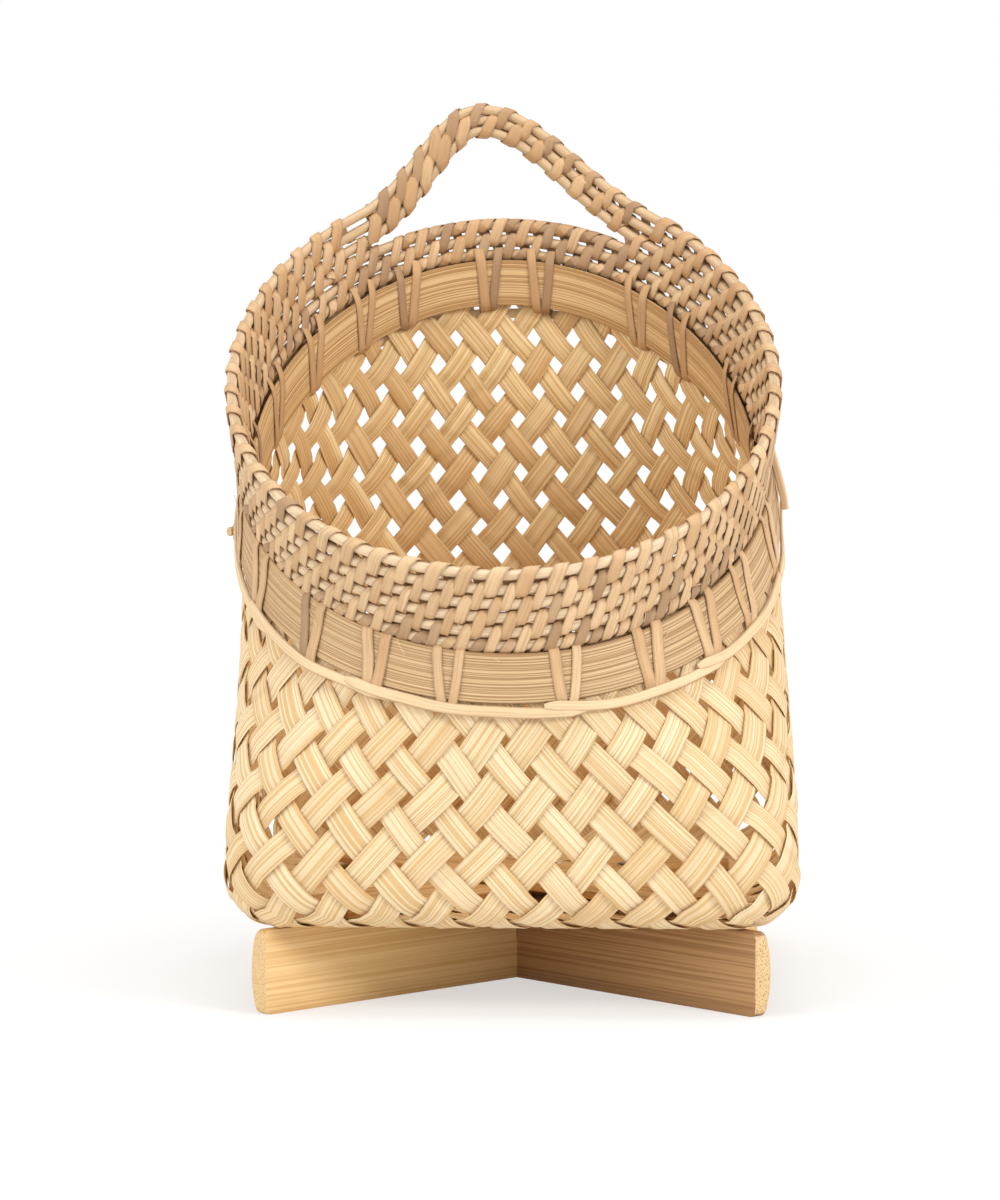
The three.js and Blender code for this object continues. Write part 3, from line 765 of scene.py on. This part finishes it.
def wall_ring(angle, z, out):
    """A point of the wall at a height, moved outwards."""
    u = (angle - first_corner) * perimeter / (2 * np.pi)
    row = (wall_start - base_side / 2 + z - weave_level - fold_radius) / wall_row
    place = wall_point(u, row)
    x, y = place[..., 0] - mouth_shift, place[..., 1]
    scale = 1 + out / np.hypot(x, y)
    return np.stack([mouth_shift + x * scale, y * scale, z], -1)


def wall_level(angle, z, out=0.0):
    """The level way round the wall, read from places on both sides."""
    return wall_ring(angle + wall_nudge, z, out) - wall_ring(angle - wall_nudge, z, out)


def wall_outward(angle, z):
    """Outward direction of the wall's own surface."""
    rise = wall_ring(angle, z + rise_nudge, 0.0) - wall_ring(angle, z - rise_nudge, 0.0)
    return unit(np.cross(wall_level(angle, z), rise))


hoop_thickness = 2.0
hoop_ease = 0.4
hoop_joint = 0.004
inner_face = -3.0
outer_face = 1.8
for name, start, out in (("inner_hoop", -1.2, inner_face - hoop_thickness / 2),
                         ("outer_hoop", 0.9, outer_face + hoop_thickness / 2)):
    angles = start + np.linspace(0, 2 * np.pi - hoop_joint, 220)
    z = below_top(angles, hoop_height / 2)
    run = {"points": wall_ring(angles, z, out), "outward": wall_outward(angles, z),
           "tone": 0.3 if out < 0 else 0.55}
    hoop = sweep("bamboo_" + name, [run], hoop_height - hoop_ease, hoop_thickness, hoop_finish,
                 squareness=0.8, sides=12, sharp=40)
    seat(hoop, "bamboo_band", name)

# %% The cane in overlapping lengths
cane_width, cane_thickness = 4.7, 2.0
lash_shades = np.random.default_rng(23)
cane_drop = hoop_height + 0.9 + 2.2
cane_out = outer_face + cane_thickness / 2 + 1.0
# Where round the mouth in degrees, how wide in degrees and how far out in mm
cane_bumps = ((-168, 14, 0.5), (-9, 13, 0.7))


def bump_at(angle, place, spread):
    """1 at a place round the mouth, in degrees, and 0 away from it."""
    off = (np.degrees(angle) - place + 180) % 360 - 180
    return np.exp(-((off / spread) ** 2))


def cane_run(start, stop, tone):
    """One length of cane. Its start lies over the length before it, and its end lies under."""
    first, last = math.radians(start - 4.0), math.radians(stop + 5.0)
    angles = np.linspace(first, last, int((last - first) * 46))
    from_start, to_end = np.degrees(angles - first), np.degrees(last - angles)
    lapped, under = np.exp(-((from_start / 6) ** 2)), np.exp(-((to_end / 6) ** 2))
    waver = 0.5 * np.sin(angles * 8 + start) + 0.25 * np.sin(angles * 19 + stop)
    z = below_top(angles, cane_drop - 1.6 * lapped + 1.8 * under + waver)
    off_wall = cane_out + 0.9 * lapped - 0.3 * under
    for place, spread, rise in cane_bumps:
        off_wall = off_wall + rise * bump_at(angles, place, spread)
    taper = np.clip(np.minimum(0.5 + from_start / 4, to_end / 4), 0.25, 1.0)
    return {"points": wall_ring(angles, z, off_wall), "outward": wall_outward(angles, z),
            "tone": tone, "girth": taper * lash_shades.uniform(0.92, 1.08)}


cane_joints = [-178, -149, -118, -78, -45, -10, 27, 64, 103, 142, 182]
canes = [cane_run(*ends, lash_shades.uniform(0.0, 0.35)) for ends in zip(cane_joints, cane_joints[1:])]
cane = sweep("rattan_cane", canes, cane_width, cane_thickness, cane_finish, squareness=0.3)
seat(cane, "rattan_peel", "hoop_lashing")
print("lengths of cane:", len(canes))

# %% V lashings outside and inside
lash_places = [-150, -131, -115, -99, -76, -57, -43, -30, -13, 5, 24, 45, 58, 83, 95, 115, 127, 143,
               160, 177, 194]
lash_width = 5.7
strap_face = outer_face + hoop_thickness + 0.45
inside_face = inner_face - hoop_thickness - 0.45
# A strap's way up, as millimetres below the hoop's top and millimetres out from the weave
outside_profile = [
    (cane_drop + 1.2, 1.9), (cane_drop - 1.2, 2.3), (hoop_height + 0.6, 3.4),
    (hoop_height - 1.6, strap_face), (8.0, strap_face), (2.5, strap_face + 0.3),
    (0.4, strap_face - 0.6), (-1.6, strap_face - 3.2)]
inside_profile = [
    (hoop_height + 2.2, -0.8), (hoop_height + 1.8, inside_face + 0.8),
    (hoop_height - 1.5, inside_face), (9.0, inside_face), (1.0, inside_face),
    (-3.0, inside_face + 1.6), (-5.5, inside_face + 3.6)]
# Which side of the wall, then from and to of the tone, the width and the bow
strap_kinds = ((False, (0.2, 0.7), (0.7, 1.05), (-0.6, 0.9)),
               (True, (0.8, 1.2), (0.62, 0.9), (-0.5, 0.7)))


def upright_param(angle, z):
    """The place round the wall whose point at this height is at the given angle."""
    param = np.array(angle, float)
    for _ in range(3):
        place = wall_ring(param, z, 0.0)
        off = angle - np.arctan2(place[..., 1], place[..., 0] - mouth_shift)
        param = param + (off + np.pi) % (2 * np.pi) - np.pi
    return param


def soften(rounds, *rows):
    """Rounds the corners in rows of values, in place."""
    for _ in range(rounds):
        for values in rows:
            values[1:-1] = (values[:-2] + 2 * values[1:-1] + values[2:]) / 4


def strap_run(angle, side, inside, tone, aged, width, bow):
    """A peel strap from the cane up over the hoop, with its ends tucked in behind."""
    profile = np.array(inside_profile if inside else outside_profile)
    steps = way_along(profile)
    share = np.linspace(0, 1, 19)
    down, out = (np.interp(share * steps[-1], steps, profile[:, i]) for i in (0, 1))
    soften(2, down, out)
    spread = 1.5 + 3.5 * share + bow * np.sin(np.pi * share)
    out = out + (0.7 if side > 0 else 0.0) * (1 - share) ** 2 * (-1 if inside else 1)
    at = angle + side * spread / wall_rim_radius
    z = hoop_top(at) - down * slope_stretch(angle)
    at = upright_param(at, z)
    centre = wall_ring(at, z, out)
    facing = unit(np.cross(wall_level(at, z, out), np.gradient(centre, axis=0)))
    facing = facing * (-1 if inside else 1)
    return {"points": centre, "outward": facing, "tone": tone, "aged": aged, "girth": width}


straps = []
for place in lash_places:
    angle = math.radians(place + lash_shades.uniform(-0.5, 0.5))
    for side in (-1, 1):
        aged = lash_shades.uniform(0.7, 1.0) if lash_shades.uniform() < 0.3 else 0.05
        for inside, *reaches in strap_kinds:
            tone, width, bow = (lash_shades.uniform(*reach) for reach in reaches)
            straps.append(strap_run(angle, side, inside, tone, aged, width, bow))
lashing = sweep("peel_lashings", straps, lash_width, 1.0, peel_finish, squareness=0.5)
seat(lashing, "rattan_peel")
print("lashings:", len(straps))

# %% The knot at the left, the tail at the right and stray fibres
def free_run(places, tone, aged, girth):
    """A run through places: degrees round the mouth, then mm below the hoop's top, and mm out."""
    stops = np.array(places, float)
    share = np.linspace(0, len(stops) - 1, 6 * len(stops))
    deg, down, out = (np.interp(share, np.arange(len(stops)), stops[:, i]) for i in range(3))
    soften(6, deg, down, out)
    at = np.radians(deg)
    centre = wall_ring(at, below_top(at, down), out)
    return {"points": centre, "outward": ring_outward(centre), "tone": tone, "aged": aged,
            "girth": girth}


knot = [
    free_run([(178, 24, 3.0), (179, 28, 4.2), (180, 30, 6.4), (181, 29, 8.6)], 0.3, 0.3, 1.25),
    free_run([(181, 22, 4.0), (181, 26, 5.4), (182, 31, 5.6), (180, 34, 4.6), (177, 31, 4.2)],
             0.5, 0.5, 0.8),
    free_run([(0, -8, 4.6), (-0.5, 0, 6.0), (-1, 7, 7.2), (-1, 12, 7.6), (-1, 16, 7.4)], 0.25, 0.1, 1.25),
    free_run([(-1, 13, 6.2), (-2, 20, 5.0), (-3, 26, 4.0), (-4, 30, 3.2)], 0.3, 0.2, 0.4),
]
knots = sweep("cane_ends", knot, 3.3, 2.8, cane_finish, squareness=0.15)
seat(knots, "rattan_peel")
fibre_shades = np.random.default_rng(61)
fibres = []
for _ in range(26):
    start = fibre_shades.uniform(-185, 5)
    low = fibre_shades.uniform(-14, 6)
    turn, rise = fibre_shades.uniform(-4.5, 4.5), fibre_shades.uniform(-5, 9)
    bend = (start + turn * 0.4, low - rise * 0.5, 5.6)
    tip = (start + turn, low - rise, 5.0 + fibre_shades.uniform(0, 2.4))
    fibres.append(free_run([(start, low, 4.2), bend, tip], 0.1, 0.0, 1.0))
stray = sweep("stray_fibres", fibres, 0.32, 0.2, peel_finish, squareness=0.0, sides=5, sharp=60)
seat(stray, "rattan_peel")
print("stray fibres:", len(fibres))

# %% [markdown]
# ## Stitching round the border
# Flat rattan peel winds round two rods at a time, each row half a stitch ahead of the next, which
# makes the brick-like pattern. Each row is one long peel, so here it is one unbroken path that goes
# round two rods while it moves along the rim. The lowest rod, and the fourth where the handle
# leaves it bare, get a winding of their own.

# %% Winding round the rods
stitch_pitch = 13.2
stitch_slack = 0.035
turns_left_off = 0.3
peel_clearance = 0.15
look_ahead = 0.004
stitches = round(2 * np.pi * rim_radius / stitch_pitch)
stitch_angles = np.radians([-90, -45, 0, 0, 45, 90, 135, 180, 180, 225])
stitch_upper = np.array([0, 0, 0, 1, 1, 1, 1, 1, 0, 0])
peel_shades = np.random.default_rng(41)
step = 2 * np.pi / stitches


def rod_frame(upper, lower, angle):
    """Both rod middles, the way up between them and the way out."""
    top, bottom = rod_point(upper, angle), rod_point(lower, angle)
    middle = (top + bottom) / 2
    ahead = (rod_point(upper, angle + look_ahead) + rod_point(lower, angle + look_ahead)) / 2
    along = unit(ahead - middle)
    out = square_to(level_outward(middle), along)
    up = np.cross(out, along)
    if upper != lower:
        up = square_to(top - bottom, along)
        out = unit(np.cross(along, up))
    return top, bottom, up, out


handle_from = math.acos((handle_peak + handle_right) / rim_radius)
handle_to = math.acos((handle_peak - handle_left) / rim_radius)
all_round = np.linspace(0, 4 * np.pi, 3)
over_handle = np.linspace(handle_from, handle_to, 400)
border_pace = (all_round / step, all_round)
handle_pace = (way_along(rod_point(1, over_handle)) / stitch_pitch, over_handle)


def winding(pace, upper, lower, start, span, late, width, aged):
    """One peel wound round one or two rods. pace gives the turns wound at each angle."""
    wound, scan = pace
    first = math.ceil(np.interp(start, scan, wound)) + late
    turns = np.interp(start + span, scan, wound) - first - turns_left_off
    reach = rod_diameter / 2 + peel_thickness / 2 + peel_clearance
    steps = len(stitch_angles)
    arc = reach * np.pi / 4
    straight = handle_rod_pitch if upper != lower else 0.01
    lengths = np.array([arc, arc, straight, arc, arc, arc, arc, straight, arc, arc])
    within = np.concatenate([[0], np.cumsum(lengths)[:-1]]) / lengths.sum()
    within = within - stitch_slack * np.sin(2 * np.pi * within)
    count = int(turns * steps)
    place = np.arange(count + 1)
    turn = place // steps
    share = turn + within[place % steps]
    angle = np.interp(first + share, wound, scan)
    bend = stitch_angles[place % steps]
    top, bottom, up, out = rod_frame(upper, lower, angle)
    hub = np.where(stitch_upper[place % steps][:, None] > 0, top, bottom)
    away = out * np.cos(bend)[:, None] + up * np.sin(bend)[:, None]
    loops = int(turns) + 2
    browner = 0.4 * (1 + np.sin(start + np.arange(loops) * step)) / 2
    tones = peel_shades.uniform(0, 0.65, loops) + (0.55 if pace is handle_pace else browner)
    old = peel_shades.uniform(0, 1, loops) < aged
    ages = np.where(old, peel_shades.uniform(0.55, 1.0, loops), peel_shades.uniform(0, 0.2, loops))
    wide = peel_shades.uniform(0.86, 1.12, loops) * width
    return {"points": hub + away * reach, "outward": away, "tone": tones[turn],
            "aged": ages[turn], "girth": wide[turn]}


# %% Stitch the border and the handle
row_width = 5.0
gap_from, gap_to = handle_from + 0.16, handle_to - 0.10
round_once = 2 * np.pi
border_span = round_once - (handle_to - handle_from)
handle_span = handle_to - handle_from
gap_span = gap_to - gap_from
# pace, upper rod, lower rod, start, span, late by, width in mm, share of old peel
rows = {
    "rim_stitches_1": (border_pace, 0, 1, handle_to, border_span, 0.0, 6.4, 0.04),
    "rim_stitches_2": (border_pace, 1, 2, handle_to, border_span, 0.5, 5.2, 0.08),
    "rim_stitches_3": (border_pace, 2, 3, gap_to, round_once - gap_span, 0.0, 5.0, 0.1),
    "rim_stitches_4": (border_pace, 3, 4, 2.4, round_once, 0.5, 4.9, 0.15),
    "rim_stitches_5": (border_pace, 4, 5, 2.7, round_once, 0.0, 4.8, 0.3),
    "rim_stitches_6": (border_pace, 5, 5, 3.0, round_once, 0.5, 4.5, 0.5),
    "rim_stitches_7": (border_pace, 3, 3, gap_from, gap_span, 0.0, 5.0, 0.2),
    "handle_stitches_1": (handle_pace, 0, 1, handle_from, handle_span, 0.0, 4.8, 0.75),
    "handle_stitches_2": (handle_pace, 1, 2, handle_from, handle_span, 0.5, 6.0, 0.08),
}
for name, (*route, width, aged) in rows.items():
    run = winding(*route, width / row_width, aged)
    row = sweep(name, [run], row_width, peel_thickness, peel_finish, squareness=0.5, sides=6, sharp=70)
    seat(row, "rattan_peel", *(["handle_wrap"] if name == "handle_stitches_1" else []))
print("stitches in a row:", stitches)

# %% [markdown]
# ## Foot, bottom slats and nails
# The foot is two slats of thick culm wall halved into each other, and two planed boards clamp the
# weave from inside. Their solids have the right form, so a copy of each gets eased edges, as years
# of use leave them. In one foot slat a skin closes the notch that the other slat sits in, and it is
# cut away first. The nails are one turned form, set at four places by a small tree of their own.

# %% Ease the slats
foot_thickness = 9.5
sharp_edge = math.radians(35)
merge_distance = 0.00001


def open_notch(mesh, turn):
    """Cuts away the skin that closes the mouth of the lower notch in the solid."""
    lie = Vector((math.cos(turn), math.sin(turn), 0.0))
    reach = (foot_thickness / 2 + seat_gap) * MM
    work = bmesh.new()
    work.from_mesh(mesh)
    bmesh.ops.remove_doubles(work, verts=work.verts, dist=merge_distance)
    bmesh.ops.dissolve_limit(work, angle_limit=math.radians(1), verts=work.verts, edges=work.edges)
    for way in (-1, 1):
        everything = work.verts[:] + work.edges[:] + work.faces[:]
        bmesh.ops.bisect_plane(
            work, geom=everything, plane_co=lie * reach * way, plane_no=lie, dist=0.000002)
    skin = []
    for face in work.faces:
        centre = face.calc_center_median()
        if centre.z < merge_distance and abs(centre.dot(lie)) < reach - 0.1 * MM:
            skin.append(face)
    bmesh.ops.delete(work, geom=skin, context="FACES")
    bmesh.ops.remove_doubles(work, verts=work.verts, dist=merge_distance)
    work.to_mesh(mesh)
    work.free()
    print("skin faces cut away:", len(skin))


def eased(node, name, finish, slot, width):
    """A welded copy of a solid with its edges eased."""
    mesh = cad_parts[node].data.copy()
    mesh.name = name
    if node == "foot_slat_left":
        open_notch(mesh, -math.pi / 4)
    piece = in_scene(name, mesh)
    weld = piece.modifiers.new("weld", "WELD")
    weld.merge_threshold = merge_distance
    bevel = piece.modifiers.new("eased edges", "BEVEL")
    bevel.width = width * MM
    bevel.segments = 2
    bevel.limit_method = "ANGLE"
    bevel.angle_limit = sharp_edge
    made = evaluated(name, piece, 32.0)
    made.data.materials.clear()
    made.data.materials.append(finish)
    seat(made, slot, node)


for side in ("right", "left"):
    eased("foot_slat_" + side, "culm_foot_" + side, finishes["foot", side], "bamboo_culm", 0.8)
    eased("bottom_slat_" + side, "planed_slat_" + side, finishes["board", side], "bamboo_board", 0.6)

# %% Turn a nail
nail_sizes = {"Head diameter": 5.2 * MM, "Head thickness": 0.8 * MM, "Length": 26 * MM,
              "Diameter": 1.8 * MM}
net, given, nail_inputs = new_tree("nails_at_points", nail_sizes)
nail_tree = net.tree
shank_length = given["Length"] - given["Diameter"] * 2.0


def placed(kind, inputs, move):
    """A primitive of the tree above, moved, turned or stretched."""
    made = net.node(kind, inputs)["Mesh"]
    return net.node("GeometryNodeTransform", {"Geometry": made, **move})["Geometry"]


radius, point_length = given["Diameter"] * 0.5, given["Diameter"] * 2.0
shank = placed("GeometryNodeMeshCylinder", {
    "Vertices": 12, "Radius": radius, "Depth": shank_length,
}, {"Translation": net.vector(0.0, 0.0, shank_length * -0.5)})
point = placed("GeometryNodeMeshCone", {
    "Vertices": 12, "Radius Top": 0.0001, "Radius Bottom": radius, "Depth": point_length,
}, {"Rotation": (math.pi, 0.0, 0.0), "Translation": net.vector(0.0, 0.0, shank_length * -1.0)})
half_head, half_height = given["Head diameter"] * 0.5, given["Head thickness"] * 0.5
dome = placed("GeometryNodeMeshUVSphere", {"Segments": 20, "Rings": 10, "Radius": 1.0}, {
    "Translation": net.vector(0.0, 0.0, half_height),
    "Scale": net.vector(half_head, half_head, half_height)})
whole = net.node("GeometryNodeJoinGeometry")
for part in (shank, point, dome):
    nail_tree.links.new(part.socket, whole.node.inputs[0])
spread = net.node("GeometryNodeInstanceOnPoints", {
    "Points": given["Path"], "Instance": whole["Geometry"]})
close_tree(net, spread["Instances"], given)
print("nodes in the nail tree:", len(nail_tree.nodes))

# %% Set the nails in their bores
nail_nodes = ["nail_%s_%d" % (side, k) for side in ("right", "left") for k in (1, 2)]
heads = []
for node in nail_nodes:
    low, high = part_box(node)
    heads.append(((low.x + high.x) / 2, (low.y + high.y) / 2, high.z - nail_sizes["Head thickness"]))
heads_mesh = bpy.data.meshes.new("nail_places")
heads_mesh.from_pydata(heads, [], [])
nails = in_scene("nail_places", heads_mesh)
set_tree(nails, nail_tree, nail_inputs, {**nail_sizes, "Finish": nail_finish})
seat(evaluated("turned_nails", nails, 40.0), "nail_steel", *nail_nodes)
print("nail heads at", [[round(value * 1000) for value in head] for head in heads])

# %% [markdown]
# ## Floor, light and camera
# The basket stands on a plain floor in soft light from the front right. The floor looks white but
# keeps the basket's shadow. The camera stands two metres away and a third of a metre up, and looks
# down by four degrees.

# %% Floor
def close_studio(net, output, lights, shows, amount):
    """Ends a tree with one shader that lights the basket and another that is seen."""
    rays = net.node("ShaderNodeLightPath")
    seen = rays["Is Camera Ray"].maximum(rays["Is Glossy Ray"]).maximum(rays["Is Transmission Ray"])
    blend = net.node("ShaderNodeMixShader", {0: seen * amount, 1: lights, 2: shows})["Shader"]
    net.node(output, {"Surface": blend})


plain_white = (1.0, 1.0, 1.0, 1.0)
floor_mesh = bpy.data.meshes.new("floor")
floor_mesh.from_pydata([(-30, -30, 0), (30, -30, 0), (30, 30, 0), (-30, 30, 0)], [], [(0, 1, 2, 3)])
floor = in_scene("floor", floor_mesh)
floor_finish, net = new_finish("floor")
matt = net.node("ShaderNodeBsdfDiffuse", {"Color": (0.86, 0.85, 0.83, 1.0)})["BSDF"]
white = net.node("ShaderNodeEmission", {"Color": plain_white, "Strength": 1.04})["Emission"]
x, y, _ = net.split(net.node("ShaderNodeTexCoord")["Object"])
away = (x ** 2.0 + y ** 2.0) ** 0.5
close_studio(net, "ShaderNodeOutputMaterial", matt, white, 0.55 + away.step(0.10, 0.42) * 0.45)
floor_mesh.materials.append(floor_finish)

# %% World
world = bpy.data.worlds.new("studio")
bpy.context.scene.world = world
net = emptied(world)
warm_white = (1.0, 0.99, 0.97, 1.0)
sky = net.node("ShaderNodeBackground", {"Color": warm_white, "Strength": 0.6})["Background"]
paper = net.node("ShaderNodeBackground", {"Color": plain_white, "Strength": 1.0})["Background"]
close_studio(net, "ShaderNodeOutputWorld", sky, paper, 1.0)


# %% Lamps and camera
lamp_target = Vector((0.0, 0.0, 0.2))


def softbox(name, place, size, watts, colour):
    data = bpy.data.lights.new(name, "AREA")
    data.shape = "DISK"
    data.size = size
    data.energy = watts
    data.color = colour
    lamp = in_scene(name, data)
    lamp.location = place
    lamp.rotation_euler = (lamp_target - Vector(place)).to_track_quat("-Z", "Y").to_euler()


softbox("key", (1.9, -1.5, 1.5), 0.9, 34.0, (1.0, 0.98, 0.97))
softbox("fill", (-2.0, -1.2, 1.2), 1.8, 23.0, (0.98, 0.99, 1.0))
softbox("top", (0.0, -0.1, 2.3), 1.6, 22.0, (1.0, 1.0, 1.0))

camera_away, camera_height = 2.0, 0.3244
orbit, look_down, look_aside = math.radians(1.579), math.radians(4.336), math.radians(1.807)
lens_data = bpy.data.cameras.new("view")
lens_data.sensor_width = 36.0
lens_data.lens = 131.78
lens_data.clip_end = 100.0
camera = in_scene("view", lens_data)
camera.location = (camera_away * math.sin(orbit), -camera_away * math.cos(orbit), camera_height)
camera.rotation_euler = (math.pi / 2 - look_down, 0.0, look_aside)
bpy.context.scene.camera = camera
bpy.context.scene.view_settings.view_transform = "Standard"
print("camera at", [round(value, 3) for value in camera.location])
